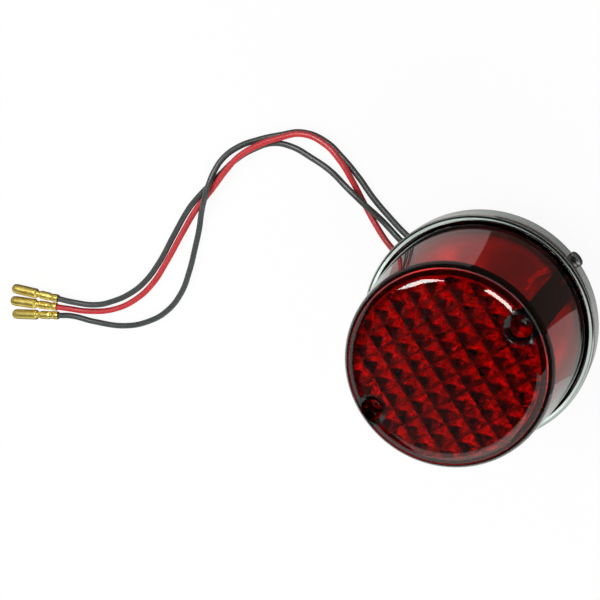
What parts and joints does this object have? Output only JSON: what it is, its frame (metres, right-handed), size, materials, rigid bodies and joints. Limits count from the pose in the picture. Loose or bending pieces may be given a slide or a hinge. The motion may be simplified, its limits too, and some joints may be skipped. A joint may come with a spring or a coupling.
{
  "type": "motorcycle tail light",
  "caption": "Round motorcycle tail and stop light: deep red prismatic lens in a chrome rim, bayonet bulb inside, rubber pad behind, three wires with bullet terminals.",
  "frame": {"origin": "centre of the back face of the mounting pad, on the lamp axis", "axes": "+Z along the lamp axis out of the front of the lens; X through the two lens screws; the wires leave towards +Y and end towards -X"},
  "size_m": [0.2057, 0.1436, 0.066],
  "materials": {
    "pad_rubber": "matt EPDM rubber",
    "pan_steel": "zinc plated pressed steel",
    "rim_chrome": "chrome plated, polished",
    "nut_steel": "yellow zinc plated steel",
    "seal_rubber": "black nitrile rubber",
    "lens_red": "clear red acrylic, moulded",
    "screw_steel": "nickel plated steel",
    "reflector_bright": "bright rolled aluminium",
    "holder_brass": "drawn brass",
    "rivet_aluminium": "headed aluminium",
    "tag_tin": "tinned brass",
    "phenolic": "laminated phenolic board",
    "contact_brass": "turned brass",
    "spring_steel": "zinc plated spring wire",
    "wire_red": "red PVC sheath",
    "wire_black": "black PVC sheath",
    "cap_brass": "drawn brass",
    "vitrite": "black glass insulator",
    "solder": "tin solder",
    "bulb_clear": "clear glass",
    "support_nickel": "nickel wire",
    "tungsten": "tungsten wire",
    "terminal_brass": "stamped brass"
  },
  "bodies": {
    "lamp_base": {"mounting_pad": "pad_rubber", "base_pan": "pan_steel", "chrome_rim": "rim_chrome", "rim_screws": "screw_steel", "mount_nuts": "nut_steel", "lens_posts": "nut_steel", "lens_gasket": "seal_rubber", "reflector": "reflector_bright", "bulb_holder": "holder_brass", "holder_rivets": "rivet_aluminium", "earth_tag": "tag_tin", "grommet": "seal_rubber", "contact_spring": "spring_steel", "stop_lead": "wire_red", "tail_lead": "wire_black", "stop_wire": "wire_red", "tail_wire": "wire_black", "earth_wire": "wire_black", "stop_terminal": "terminal_brass", "tail_terminal": "terminal_brass", "earth_terminal": "terminal_brass"},
    "lens_unit": {"lens": "lens_red", "screw_washers": "seal_rubber"},
    "left_screw": {"lens_screw_left": "screw_steel"},
    "right_screw": {"lens_screw_right": "screw_steel"},
    "contact_carrier": {"contact_plate": "phenolic", "contact_tips": "contact_brass"},
    "bulb": {"bulb_cap": "cap_brass", "bulb_pins": "cap_brass", "bulb_insulator": "vitrite", "bulb_contacts": "solder", "bulb_glass": "bulb_clear", "bulb_stem": "bulb_clear", "filament_supports": "support_nickel", "stop_filament": "tungsten", "tail_filament": "tungsten"}
  },
  "joints": [
    {"name": "lens_lift", "type": "slide", "parent": "lamp_base", "child": "lens_unit", "axis": [0, 0, 1], "range_m": [0, 0.06]},
    {"name": "left_screw_turn", "type": "hinge", "parent": "lens_unit", "child": "left_screw", "pos_m": [-0.0276, 0, 0.053], "axis": [0, 0, 1], "continuous": true},
    {"name": "right_screw_turn", "type": "hinge", "parent": "lens_unit", "child": "right_screw", "pos_m": [0.0276, 0, 0.053], "axis": [0, 0, 1], "continuous": true},
    {"name": "bulb_press", "type": "slide", "parent": "lamp_base", "child": "contact_carrier", "axis": [0, 0, 1], "range_m": [-0.002, 0], "stiffness_N_per_m": 5000, "springref_m": 0.002, "deforming": ["contact_spring", "stop_lead", "tail_lead"]},
    {"name": "bulb_unlock", "type": "hinge", "parent": "contact_carrier", "child": "bulb", "pos_m": [0, 0, 0.03], "axis": [0, 0, 1], "range_deg": [0, 20]}
  ]
}
